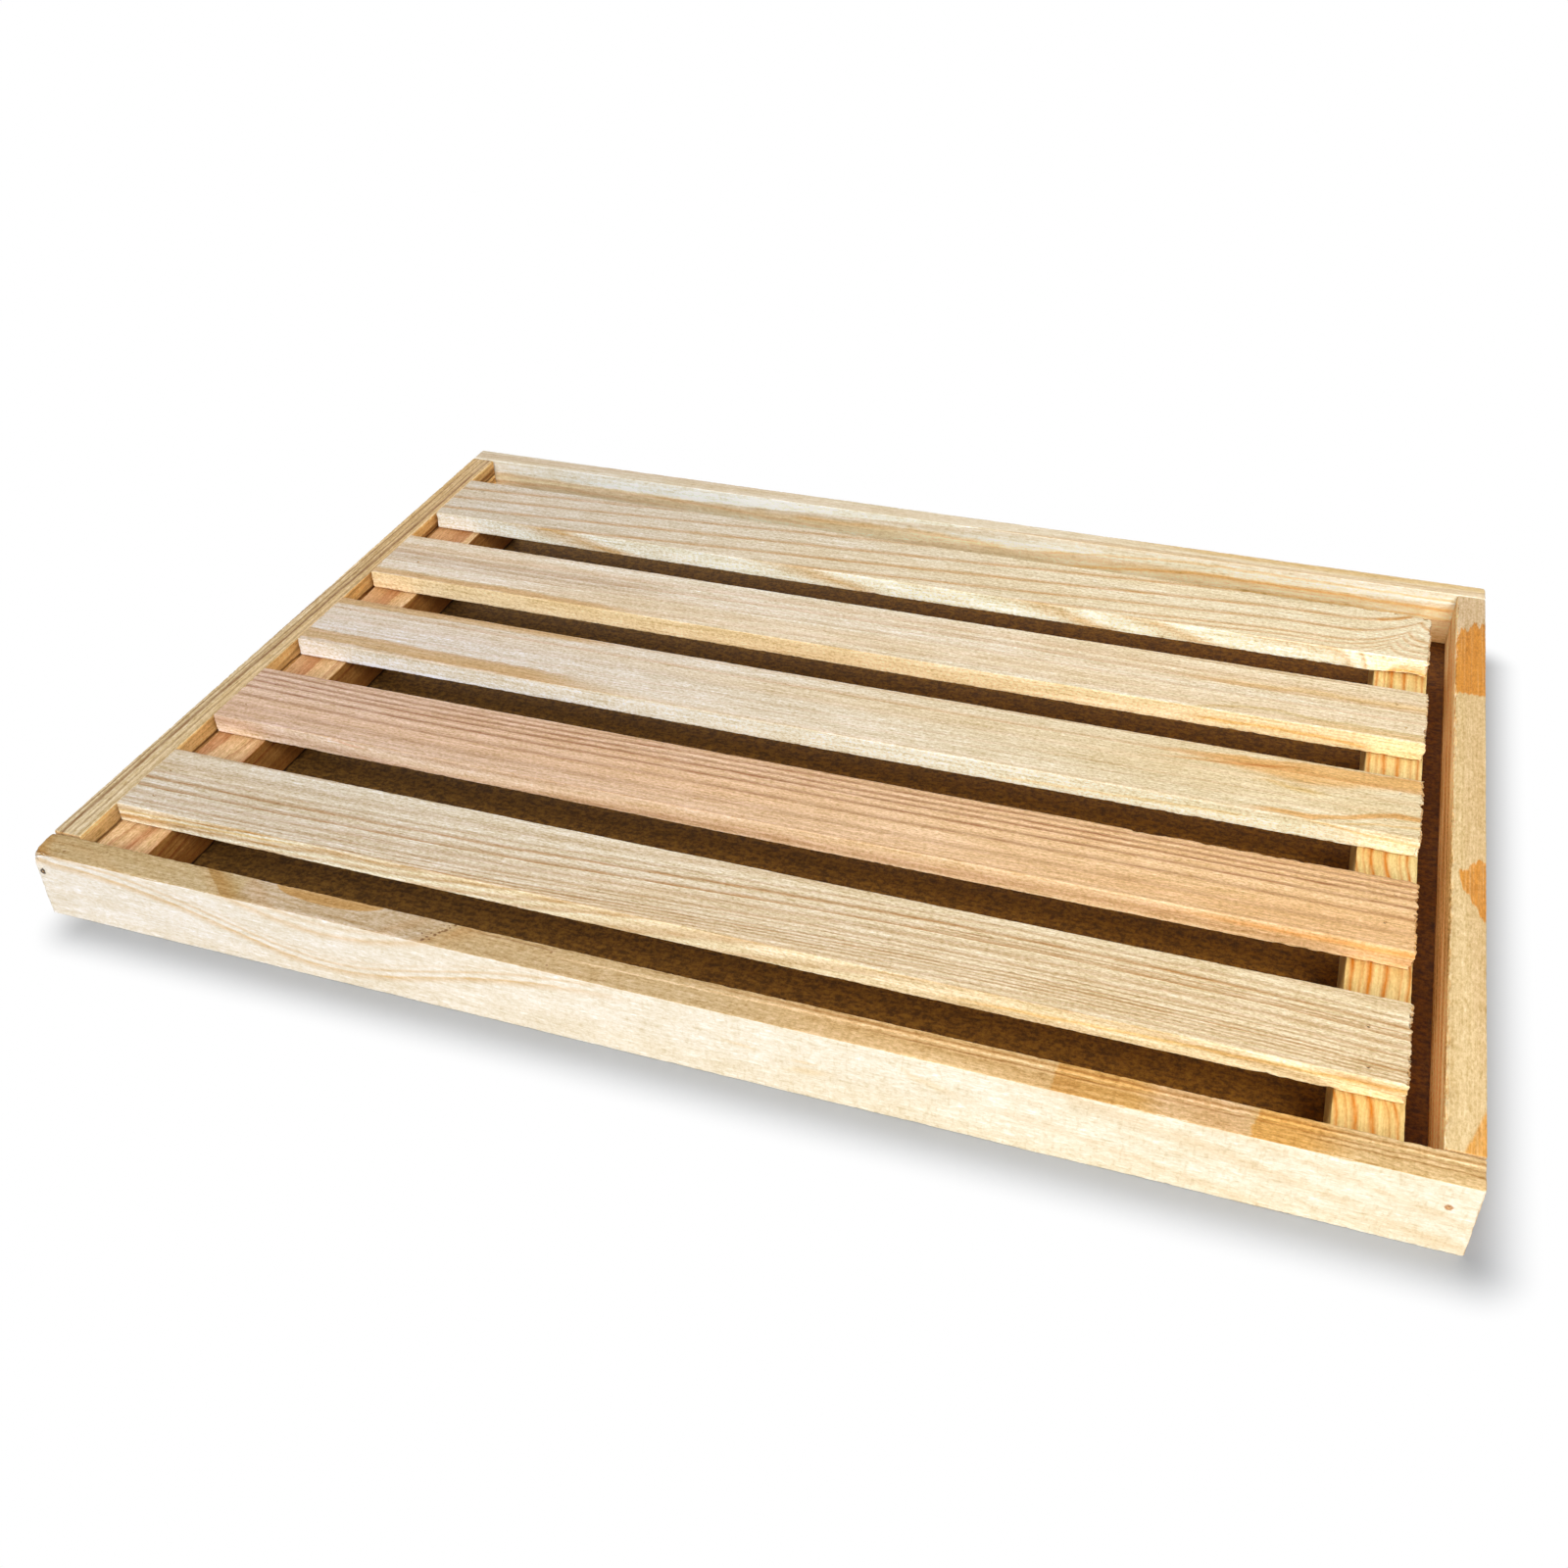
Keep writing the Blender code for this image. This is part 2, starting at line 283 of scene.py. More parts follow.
def woodMaterial(name, centre, grain, half, changes):
    look = {**woodBase, **changes}
    g = Graph(bpy.data.materials.new(name))
    place = g.vectors("SUBTRACT", g.node("TexCoord", output="Object"), centre)
    place = g.node("VectorMath", {"operation": "SCALE"}, {0: place, "Scale": 1 / mm})
    x, y, up = g.axes(place)
    east, north, upwards = g.axes(g.node("TexCoord", output="Normal"))
    along, across = (x, y) if grain == "x" else (y, 0 - x)
    endways, sideways = (east, north) if grain == "x" else (north, 0 - east)
    turned = {"top": upwards, "bottom": 0 - upwards, "left": sideways, "right": 0 - sideways}
    facing = {face: g.step(turn, *squarely) for face, turn in turned.items()}
    endFace = g.step(g.maths("ABSOLUTE", endways), *squarely)
    seed = look["grainSeed"]

    def cloud(run, level, offset, detail=2.0, rough=0.5):
        return g.cloud(along * run, across * level, up * level, seed + offset, detail, rough)

    # the rings
    pith, tilt = look["pith"], look["tilt"]
    aside = across - pith[0] - along * tilt[0]
    below = up - pith[1] - along * tilt[1]
    for where, size, push, lift, *sharp in look["bends"]:
        away = along - across * sharp[0] if sharp else along
        away = g.maths("ABSOLUTE", (away - where) / size)
        swing = g.maths("EXPONENT", 0 - (away if sharp else away * away))
        aside = aside - swing * push if push else aside
        below = below - swing * lift if lift else below
    sway = (cloud(0.007, 0.028, 0, 1.0) - 0.5) * look["wander"] * 2
    shake = (cloud(0.05, 0.3, 3) - 0.5) * 0.7
    shiver = (cloud(0.5, 0.9, 5, 1.0) - 0.5) * 0.3
    radius = (aside * aside + below * below) ** 0.5 + sway + shake + shiver
    bunching = g.node("TexNoise", {"noise_dimensions": "1D"},
                      {"W": radius / look["ring"] * 0.31 + seed, "Scale": 1.0, "Detail": 1.0})
    years = radius / look["ring"] + (bunching - 0.5) * look["bunch"]
    part = g.maths("FRACT", years)
    vigour = g.node("TexWhiteNoise", {"noise_dimensions": "1D"}, {"W": g.maths("FLOOR", years) + seed})
    late = g.step(part, 1 - look["lineWidth"] * 1.6, 0.93) * (1 - g.step(part, 0.94, 1.0))
    late = late * (vigour * 0.7 + 0.3) * look["lineStrength"]
    for group in look["rings"]:
        late = g.maths("MAXIMUM", late, ringLines(g, group, radius, along, pith, half))
    broken = cloud(0.09, 1.1, 71, 2.0, 0.6)
    late = late * (broken * 1.5 + 0.25)

    # fibres, grit, flecks and broad tones
    fibre = cloud(0.07, 2.4, 11, 2.0, 0.6)
    long = cloud(0.011, 0.9, 13, 3.0, 0.65)
    grit = cloud(0.75, 1.5, 17, 2.0, 0.7)
    dashes = cloud(0.25, 1.3, 23, 1.0)
    fleck = g.step(dashes, 0.62, 0.74) * look["fleck"]
    spark = (1 - g.step(dashes, 0.28, 0.4)) * look["spark"]
    bands = cloud(0.016, 0.34, 37)
    broad = cloud(0.005, 0.075, 31)
    mottle = cloud(0.09, 0.14, 43, 3.0, 0.65)
    warm = g.step(broad, 0.42, 0.66) * look["warmShare"]
    colour = g.mix(warm, tint(*look["pale"]), tint(*look["warm"]))
    colour = g.mix(late, colour, tint(*look["line"]))
    colour = g.mix(endFace * look["endShare"], colour, tint(*look["endTone"]))
    # painted light and shade: a face made lighter or darker as it lies to the light
    for face, gain in look["faces"].items():
        colour = g.tone(colour, gain, facing[face])
    # painted light along the board: one end lighter and warmer than the other
    leftCast, rightCast = look["cast"]
    cast = g.mix(g.step(along, -half[0], half[0]), (*leftCast, 1.0), (*rightCast, 1.0))
    colour = g.tone(colour, cast)
    spot = {"along": along, "across": across, "up": up, "fibre": long,
            "torn": cloud(0.06, 0.9, 61, 1.0) - 0.5, "drift": cloud(0.13, 0.13, 67, 1.0) - 0.5}
    for face, patches in look["patches"].items():
        for patch in patches:
            colour = g.tone(colour, patch["gain"], patchMask(g, face, patch, spot, facing))
    for face, where, height, radius, gain in look["dots"]:
        level = across if face in ("top", "bottom") else up
        reach = ((along - where) ** 2 + (level - height) ** 2) ** 0.5 + (grit - 0.5) * 0.8
        mark = (1 - g.step(reach, radius * 0.7, radius * 1.1)) * (facing[face] * 0.7 + 0.3)
        colour = g.tone(colour, gain, mark)
    # painted highlight along the rounded edges, partly rubbed wear, where no face looks squarely one way
    worn = 1 - sum(facing.values(), endFace)
    worn = g.step(worn, 0.2, 0.7) * (g.step(mottle, 0.4, 0.6) * 0.5 + 0.5)
    colour = g.tone(colour, look["arrisHighlightAndWear"], worn)
    shade = 1 + (fibre - 0.5) * look["fibre"] * 2 + (mottle - 0.5) * look["mottle"] * 2
    streakGain, gritGain = look["streak"] * 2, look["grit"] * 2
    for face, extra in look["faceStreaks"].items():
        streakGain = facing[face] * extra * 2 + streakGain
    for face, extra in look["faceGrit"].items():
        gritGain = facing[face] * extra * 2 + gritGain
    shade = shade + (grit - 0.5) * gritGain + (long - 0.5) * streakGain - fleck * 0.4
    shade = shade + spark * 0.3 + (bands - 0.5) * look["bands"] * 2
    if look["saw"]:
        ticks = g.cloud(along * 0.9, across * 0.04, up * 0.3, seed + 57, 1.0)
        shade = shade - g.step(ticks, 0.57, 0.68) * g.step(along, -half[0], half[0] * 0.3) * look["saw"]
    # darker flecks are warmer, as red fades less than blue
    colour = g.tone(colour, g.node("CombineXYZ", None, {0: shade ** 0.74, 1: shade, 2: shade ** 1.65}))

    # surface
    height = fibre * 0.4 + grit * 0.8 + late * 0.35 + mottle * 0.5
    if look["ripple"]:
        wave = g.maths("SINE", (along + across * 0.4 + mottle * 1.5) * (math.tau / 2.2))
        wave = wave * g.step(bands, 0.4, 0.6)
        height = height + wave * look["ripple"]
    bump = g.node("Bump", None, {"Strength": 0.7, "Distance": reliefDepth, "Height": height})
    roughness = look["rough"] + (fibre - 0.5) * 0.22 - late * 0.12
    return g.finish(g.node("BsdfPrincipled", None, {
        "Base Color": colour, "Roughness": roughness, "Normal": bump, "Specular IOR Level": 0.28}))


# Boards

shapeBase = {
    "arris": (0.4,) * 4,    # rounding of the long edges, mm: right foot and top, left foot and top
    "arrisWander": 0.3,     # share that the rounding varies by
    "chips": (0.35,) * 4,   # size of the small bites out of those edges, mm
    "endArris": 0.35,
    "wave": 0.12,           # slow hollows in the faces, mm
    "fuzz": 0.06,           # small roughness of the faces, mm
    "tornEnds": (0.25, 0.25),
    "acrossPitch": 1.7,
    "alongPitch": 0.9,
    "nicks": [],            # (along, across, up, radius, depth) in mm from the middle
    "torn": [],             # (from, to, across, up, count, size, depth) in mm: nicks along an edge
    "splinters": 0,         # short raised fibres at the right end
    "hole": 1.05,           # width of a brad's hole, as a share of the brad's
    "seed": 1.0,
}
nearEdge = (0.0, 0.12, 0.28, 0.5, 0.8, 1.2)    # cell corners by a long edge, mm
nearEnd = (0.0, 0.12, 0.3, 0.6, 1.0, 1.6, 2.4, 3.4, 4.8, 6.4)


def addObject(name, data):
    made = bpy.data.objects.new(name, data)
    bpy.context.scene.collection.objects.link(made)
    return made


def addMesh(name, skin):
    mesh = bpy.data.meshes.new(name)
    skin.to_mesh(mesh)
    skin.free()
    return addObject(name, mesh)


def stopsAlong(length, pitch, near):
    # places from 0 to length, closer together at both ends; all in metres
    near = [stop * mm for stop in near if stop * mm < length * 0.42]
    middle = length - 2 * near[-1]
    count = max(1, round(middle / (pitch * mm)))
    inner = [near[-1] + middle * step / count for step in range(1, count)]
    return near + inner + [length - stop for stop in reversed(near)]


def blockSkin(stops):
    # the skin of a block of cells, with its corners by index
    skin = bmesh.new()
    counts = [len(line) - 1 for line in stops]
    corners = {}

    def corner(axis, side, first, second):
        index = [0, 0, 0]
        index[axis] = side
        index[(axis + 1) % 3] = first
        index[(axis + 2) % 3] = second
        key = tuple(index)
        if key not in corners:
            corners[key] = skin.verts.new([stops[a][key[a]] for a in range(3)])
        return corners[key]

    for axis in range(3):
        across, up = (axis + 1) % 3, (axis + 2) % 3
        for side in (0, counts[axis]):
            for a in range(counts[across]):
                for b in range(counts[up]):
                    ring = [(a, b), (a + 1, b), (a + 1, b + 1), (a, b + 1)]
                    if side == 0:
                        ring.reverse()
                    skin.faces.new([corner(axis, side, p, q) for p, q in ring])
    return skin, corners


def wobble(x, y, z, seed):
    return noise.noise(Vector((x + seed * 17.3, y - seed * 5.1, z + seed * 3.7)))


def shapedPoint(point, half, shape):
    # rounds the edges and roughens the faces; only ever moves inwards
    seed = shape["seed"]
    along, across, up = (part / mm for part in point)
    edge = 2 * (point[1] > 0) + (point[2] > 0)
    worn = wobble(along / 23, edge * 9.0, 0.5, seed) + wobble(along / 6, edge * 9.0, 4.5, seed)
    chip = max(0.0, wobble(along / 0.8, edge * 9.0, 8.5, seed) + worn * 0.25) * shape["chips"][edge] * 2
    rounding = shape["arris"][edge] * (1 + shape["arrisWander"] * worn) + chip
    rounding = max(0.1, rounding) * mm
    endRounding = shape["endArris"] * mm
    limit = [half[0] - endRounding, half[1] - rounding, half[2] - rounding]
    inner = Vector([max(-limit[a], min(limit[a], point[a])) for a in range(3)])
    out = Vector(point) - inner
    scaled = Vector((out.x / endRounding, out.y / rounding, out.z / rounding))
    if scaled.length < 1e-9:
        return Vector(point)
    scaled.normalize()
    result = inner + Vector((scaled.x * endRounding, scaled.y * rounding, scaled.z * rounding))

    # hollows and roughness of the long faces
    slow = 0.5 + 0.5 * wobble(along / 34, across / 9, up / 9, seed + 2)
    fine = 0.5 + 0.5 * wobble(along / 5, across / 1.3, up / 1.3, seed + 4)
    depth = (shape["wave"] * slow + shape["fuzz"] * fine) * mm
    result.y -= scaled.y * depth
    result.z -= scaled.z * depth

    # torn end grain
    torn = shape["tornEnds"][1 if point[0] > 0 else 0]
    rag = abs(wobble(across / 0.85, up / 2.4, 2.5, seed + 8)) * 2.2
    rag = rag + 0.2 + 0.3 * wobble(across / 4.5, up / 3.5, 7.5, seed + 9)
    reach = half[0] - abs(point[0])
    result.x -= math.copysign(torn * rag * mm * max(0.0, 1 - reach / (1.2 * mm)), point[0])

    # bites out of the edges
    column = round(along * 20)
    if column not in shape["near"]:
        shape["near"][column] = [nick for nick in shape["nicks"] if abs(along - nick[0]) < nick[3] * 2]
    for nick in shape["near"][column]:
        away = Vector(((along - nick[0]) * 0.5, across - nick[1], up - nick[2]))
        share = 1 - away.length / nick[3]
        if share > 0:
            bite = nick[4] * share * (0.75 + 0.5 * wobble(along / 1.2, across / 0.9, up / 0.9, seed + 12))
            result -= scaled * bite * mm
    return result


def addSplinters(skin, half, shape):
    chance = random.Random(shape["seed"])
    for _ in range(shape["splinters"]):
        up = chance.choice((-1, -1, 1)) * (half[2] - chance.uniform(0.2, 0.9) * mm)
        across = chance.uniform(-1, 1) * (half[1] - 0.8 * mm)
        root = Vector((half[0] - chance.uniform(1.0, 1.6) * mm, across, up))
        direction = Vector((1, chance.uniform(-0.35, 0.35), chance.uniform(-0.15, 0.15)))
        addSpike(skin, root, direction, chance.uniform(0.6, 1.0) * mm, chance.uniform(0.12, 0.22) * mm)


def addSpike(skin, root, direction, length, thick):
    # a thin raised fibre, a three-sided spike with its root in the wood
    direction = direction.normalized()
    sideways = direction.orthogonal().normalized()
    upwards = direction.cross(sideways)
    ring = []
    for turn in range(3):
        angle = turn * math.tau / 3
        offset = sideways * math.cos(angle) + upwards * math.sin(angle)
        ring.append(skin.verts.new(root + offset * thick))
    tip = skin.verts.new(root + direction * length)
    for turn in range(3):
        skin.faces.new((ring[turn], ring[(turn + 1) % 3], tip))
    skin.faces.new(reversed(ring))


def dimple(skin, corners, stops, half, face, centre, radius, depth):
    # presses a round brad hole into one face, by moving the cells there
    axis, side = {"top": (2, 1), "bottom": (2, -1), "left": (1, 1), "right": (1, -1)}[face]
    flat = 1 if axis == 2 else 2
    level = len(stops[axis]) - 1 if side > 0 else 0
    near = {}
    for a in (0, flat):
        near[a] = min(range(len(stops[a])), key=lambda i: abs(stops[a][i] - half[a] - centre[a]))
    rim = set()
    for stepAlong in range(-2, 3):
        for stepAcross in range(-2, 3):
            key = [0, 0, 0]
            key[0] = near[0] + stepAlong
            key[flat] = near[flat] + stepAcross
            key[axis] = level
            if tuple(key) not in corners:
                continue
            ring = max(abs(stepAlong), abs(stepAcross))
            angle = math.atan2(stepAcross, stepAlong)
            reach = (0.0, radius, radius * 1.1)[ring]
            sunk = (depth, depth, 0.0)[ring]
            vertex = corners[tuple(key)]
            if ring == 2:
                rim.add(vertex)
            vertex.co[0] = centre[0] + math.cos(angle) * reach
            vertex.co[flat] = centre[flat] + math.sin(angle) * reach
            vertex.co[axis] -= side * sunk
    for vertex in rim:
        for edge in vertex.link_edges:
            if edge.other_vert(vertex) in rim:
                edge.smooth = False


def boardShape(name, low, high, grain, changes, heads=()):
    shape = {**shapeBase, **changes}
    centre = (low + high) / 2
    size = high - low
    if grain == "y":
        size = Vector((size.y, size.x, size.z))
    half = size / 2
    stops = [stopsAlong(size.x, shape["alongPitch"], nearEnd)]
    stops += [stopsAlong(part, shape["acrossPitch"], nearEdge) for part in (size.y, size.z)]
    chance = random.Random(shape["seed"])
    shape["nicks"] = list(shape["nicks"])
    shape["near"] = {}
    for start, end, across, up, count, spread, depth in shape["torn"]:
        for _ in range(count):
            along = chance.uniform(start, end)
            width = spread * chance.uniform(0.6, 1.4)
            shape["nicks"].append((along, across, up, width, depth * chance.uniform(0.4, 1.5)))
    skin, corners = blockSkin(stops)
    for vertex in skin.verts:
        vertex.co = shapedPoint(vertex.co - half, half, shape)
    turn = Matrix.Rotation(math.radians(90 if grain == "y" else 0), 4, "Z")
    turned = Matrix.Translation(centre) @ turn
    back = turned.inverted()
    for face, node in heads:
        headLow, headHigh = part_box(node)
        middle = back @ ((headLow + headHigh) / 2)
        axis = {"top": 2, "bottom": 2, "left": 1, "right": 1}[face]
        side = 1 if face in ("top", "left") else -1
        ends = [(back @ headLow)[axis], (back @ headHigh)[axis]]
        head = max(ends, key=lambda place: place * side)
        radius = min(headHigh - headLow) / 2
        dimple(skin, corners, stops, half, face, middle, radius * shape["hole"],
               half[axis] - head * side + sunkDeeper)
    addSplinters(skin, half, shape)
    skin.transform(turned)
    piece = addMesh(name, skin)
    piece.data.shade_smooth()
    return piece, centre


def cutRebate(piece, low, high):
    # the step under a rail that the base panel is let into
    tool = addMesh("rebate", blockSkin([[low[a], high[a]] for a in range(3)])[0])
    change = piece.modifiers.new("rebate", "BOOLEAN")
    change.operation = "DIFFERENCE"
    change.solver = "EXACT"
    change.object = tool
    bpy.context.view_layer.update()
    result = bpy.data.meshes.new_from_object(piece.evaluated_get(bpy.context.evaluated_depsgraph_get()))
    piece.modifiers.clear()
    spent = (piece.data, tool.data)
    piece.data = result
    bpy.data.objects.remove(tool)
    for mesh in spent:
        bpy.data.meshes.remove(mesh)


sunkDeeper = 0.03 * mm
plainMark = (0.55, (0.5, 0.42, 0.36))    # size in mm and tone of the mark round a brad
marks = {
    "corner_brad_front_left": (1.0, (0.12, 0.1, 0.09)),
    "corner_brad_front_right": (1.0, (0.62, 0.36, 0.2)),
}


def dress(piece, node, body, material):
    piece.data.materials.clear()
    piece.data.materials.append(material)
    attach(piece, body)
    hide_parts(node)
    print("made", piece.name, len(piece.data.polygons), "faces")


def makeBoard(node, body, grain, look, heads=(), rebate=None):
    low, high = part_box(node)
    piece, centre = boardShape(node + "_board", low, high, grain, look, heads)
    if rebate:
        cutRebate(piece, *rebate)
    half = (high - low) / 2 / mm
    half = (half.x, half.y, half.z) if grain == "x" else (half.y, half.x, half.z)
    dots = list(look.get("dots", []))
    for face, head in heads:
        spot = (sum(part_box(head), Vector()) / 2 - centre) / mm
        along, across = (spot.x, spot.y) if grain == "x" else (spot.y, -spot.x)
        level = across if face in ("top", "bottom") else spot.z
        dots.append((face, along, level, *marks.get(head, plainMark)))
    dress(piece, node, body,
          woodMaterial(node + "_wood", centre, grain, half, {**look, "dots": dots}))


# Rails of the crumb tray

panelLow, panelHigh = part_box("base_panel")
panelPlay = 0.3 * mm
cutBelow = 5 * mm
rebateBox = (
    Vector((panelLow.x - panelPlay, panelLow.y - panelPlay, panelLow.z - cutBelow)),
    Vector((panelHigh.x + panelPlay, panelHigh.y + panelPlay, panelHigh.z + panelPlay)),
)
plainCast = ((1, 1, 1), (1, 1, 1))

frontRail = {
    "chips": (0.2, 0.3, 0.3, 0.3), "endArris": 1, "tornEnds": (0.25, 0.2), "seed": 1.0, "hole": 0.6,
    "nicks": [(-200, -5.5, 11.75, 4.5, 2), (200, -5, 11.75, 1.6, 0.5), (-200, 5, 11.75, 1.6, 0.6)],
    "torn": [(-190, -60, -5, 11.75, 24, 0.8, 0.3), (60, 195, -5, 11.75, 20, 0.8, 0.3)],
    "pale": (236, 229, 213), "line": (218, 184, 128), "warm": (235, 224, 200),
    "cast": ((0.955, 0.955, 1), (1.07, 1.04, 0.97)), "faceGrit": {"top": 0.5}, "pith": (-40, -110),
    "bends": [(-103, 47, 0, -15.8), (250, 110, 0, -32)], "ring": 6.5, "lineStrength": 0.06, "wander": 1.5,
    "faces": {"top": (0.69, 0.57, 0.37)}, "saw": 0.09, "grit": 0.26, "fibre": 0.14, "streak": 0.06,
    "faceStreaks": {"top": 0.5}, "fleck": 0.3, "bands": 0.05, "grainSeed": 2.0,
    "rings": [
        {"face": "right", "along": (-230, 0), "fade": 40, "lines": [
            (9.5, 2.4, 0.8), (11.8, 1.6, 0.6), (14, 1, 0.25), (22.6, 2.2, 0.6), (26, 1.4, 0.4)]},
        {"face": "right", "along": (60, 260), "fade": 50, "lines": [
            (3.9, 4, 0.3), (11, 1.5, 0.2), (16.6, 5, 0.35), (25, 4, 0.3)]},
    ],
    "patches": {"right": [
        streak([(13, 2.2), (28, 1)], 0.6, (0.95, 0.85, 0.68)),
        streak([(31, 0.4), (45, 1.1)], 0.6, (0.95, 0.84, 0.66)),
        streak([(30, -3.6), (38, -2.2), (48, -1.2)], 2.2, (0.97, 0.89, 0.74), soft=1),
        streak([(60, 11), (66, 5), (80, 1.5)], 2, (0.97, 0.91, 0.8), soft=1),
    ], "top": [
        cornerPatch([(-68, -7), (70, -7), (70, 7), (-63, 7)], (1, 0.93, 0.86), softs=[1, 40, 1, 1]),
        cornerPatch([(36, -7), (210, -7), (210, 7), (36, 7)], (1.18, 1.06, 0.92), softs=[1, 1, 1, 36]),
        cornerPatch([(-210, -7), (-150, -7), (-150, 7), (-210, 7)], (0.95, 0.89, 0.76), softs=[1, 30, 1, 1]),
        streak([(-205, -5.2), (-120, -5.3), (-20, -5.4)], 0.6, (0.8, 0.68, 0.48), soft=0.4, fades=(1, 40)),
        cornerPatch([(-210, -7), (-195, -7), (-198, 7), (-210, 7)], (0.86, 0.72, 0.5), softs=[1, 2, 1, 1],
              fray=2),
        cornerPatch([(-131, -7), (-72, -7), (-65.5, 7), (-131, 7)], (1, 1, 1.16), softs=[1, 3, 1, 1], fray=3),
        cornerPatch([(-132.5, -6.5), (-120, -6.5), (-143.5, 6.5), (-148, 6.5)], (0.78, 0.66, 0.4),
              softs=[0.4, 2.5, 0.4, 0.25], streaky=0.3),
        {"lens": (-105, 17.5, 5.4, 5), "gain": (0.88, 0.66, 0.33), "soft": 0.16, "wobble": 0.6,
         "streaky": 0.3},
        streak([(-128, 0.6), (-110, -2.2), (-84, -3.4)], 0.5, (0.84, 0.76, 0.6), soft=0.4),
        streak([(-20, 3.6), (60, 3.2), (205, 3)], 0.8, (0.78, 0.64, 0.48), soft=0.4, fades=(60, 1)),
        streak([(-40, 1.2), (20, 1.9), (60, 2.3), (205, 2.2)], 0.8, (1.34, 1.4, 1.6), soft=0.3,
               fades=(20, 1), wobble=0.5),
        streak([(45, 0.8), (205, 0.7)], 0.4, (0.74, 0.6, 0.46), soft=0.3, fades=(20, 1)),
        streak([(150, -0.7), (205, -0.9)], 0.4, (0.78, 0.64, 0.48), soft=0.3, fades=(20, 1)),
        streak([(-62, 3.6), (-30, 3.4)], 0.4, (0.66, 0.55, 0.45), soft=0.3),
        cornerPatch([(55, -7), (84, -7), (80, -3.6), (58, -3.8)], (1.16, 1.2, 1.3), softs=[1, 2, 0.5, 2], fray=6),
        cornerPatch([(176, -7), (205, -7), (205, -3.4), (182, -3.7)], (1.12, 1.16, 1.24), softs=[1, 2, 0.5, 2],
              fray=6),
        cornerPatch([(100.9, -7), (124, -7), (124, 7), (100.9, 7)], (0.94, 0.77, 0.48), softs=[1, 5, 1, 0.35],
              frays=[0, 8, 0, 1.5], streaky=0.4),
        cornerPatch([(124, -7), (147, -7), (148, 7), (124, 7)], (1.02, 1, 1.1), softs=[1, 1.5, 1, 4]),
        cornerPatch([(147.2, -7), (166, -7), (166, 7), (149.6, 7)], (1, 0.78, 0.42), softs=[1, 8, 1, 0.4],
              frays=[0, 8, 0, 2], streaky=0.3),
    ]},
    "dots": [
        *(("top", along, across, radius, (0.46, 0.33, 0.24)) for along, across, radius in (
            (-65.4, 4.4, 0.5), (-66.3, 3, 0.4), (-66.9, 1.7, 0.55), (-67, 3.7, 0.3), (-68.2, 0.3, 0.4),
            (-68.9, -0.9, 0.5), (-67.7, 1.2, 0.3), (-70.6, -2.2, 0.45), (-71.3, -3.7, 0.6),
            (-69.6, -2.9, 0.3), (-68.4, 3.5, 0.35), (-72.6, -1.3, 0.3), (-70.2, -0.6, 0.3))),
        ("top", -35.5, 2.6, 0.4, (0.6, 0.46, 0.36)), ("top", -34.6, -2.4, 0.35, (0.6, 0.46, 0.36)),
        ("top", -178, 1.8, 0.4, (0.6, 0.48, 0.34)), ("top", -190.5, -1.6, 0.5, (0.56, 0.44, 0.3))],
}
backRail = {
    "endArris": 0.8, "chips": (0.3, 0.15, 0.3, 0.3), "seed": 2.0, "pale": (244, 232, 209),
    "line": (204, 158, 102), "warm": (234, 208, 164), "pith": (-50, -40), "tilt": (0.01, 0.02), "ring": 5.2,
    "lineWidth": 0.6, "lineStrength": 0.45, "grainSeed": 5.0, "grit": 0.3, "fibre": 0.2,
    # painted light: the inner face made lighter
    "bends": [(60, 60, 3, 0)], "faces": {"right": (1.19, 1.4, 1.72)},
    "cast": ((0.88, 0.9, 0.94), (1.04, 1, 0.88)),
    "patches": {"top": [
        streak([(70, 2.4), (120, 1.8), (205, 1.4)], 3, (0.93, 0.83, 0.64), soft=0.9, fades=(40, 1)),
        streak([(-190, -1.4), (-130, -0.6), (-40, 1.5)], 1.6, (0.9, 0.84, 0.74), soft=0.8, fades=(20, 30)),
    ], "right": [
        # painted shade: the inner face warmer and darker below its upper part, darkest by the panel
        streak([(-200, -2.9), (200, -2.9)], 18, (1.02, 0.86, 0.62), soft=1.6, wobble=2, fades=(1, 1)),
        streak([(-200, -8.5), (200, -8.5)], 9, (0.86, 0.66, 0.46), soft=3.5, fades=(1, 1)),
        streak([(40, 5), (60, 7), (95, 9.4), (130, 9.2), (195, 8.6)], 0.7, (0.96, 0.78, 0.54), soft=0.5),
        streak([(20, -1.5), (60, 1.5), (80, 3.6), (100, 5.4), (130, 5.2), (195, 4.6)], 1.1,
               (0.95, 0.74, 0.46)),
        streak([(50, -2), (90, 0.2), (130, 1.4), (195, 1)], 0.8, (0.96, 0.8, 0.58), soft=0.5),
        streak([(-60, 5), (-10, 6.6), (30, 5.2)], 1.8, (0.97, 0.84, 0.64), soft=0.9),
        streak([(-195, 6), (-150, 5.6), (-100, 5), (-40, 2)], 1, (0.93, 0.82, 0.7)),
        streak([(-195, 2.2), (-160, 3), (-100, 1.6)], 0.9, (0.94, 0.84, 0.74)),
    ]},
}
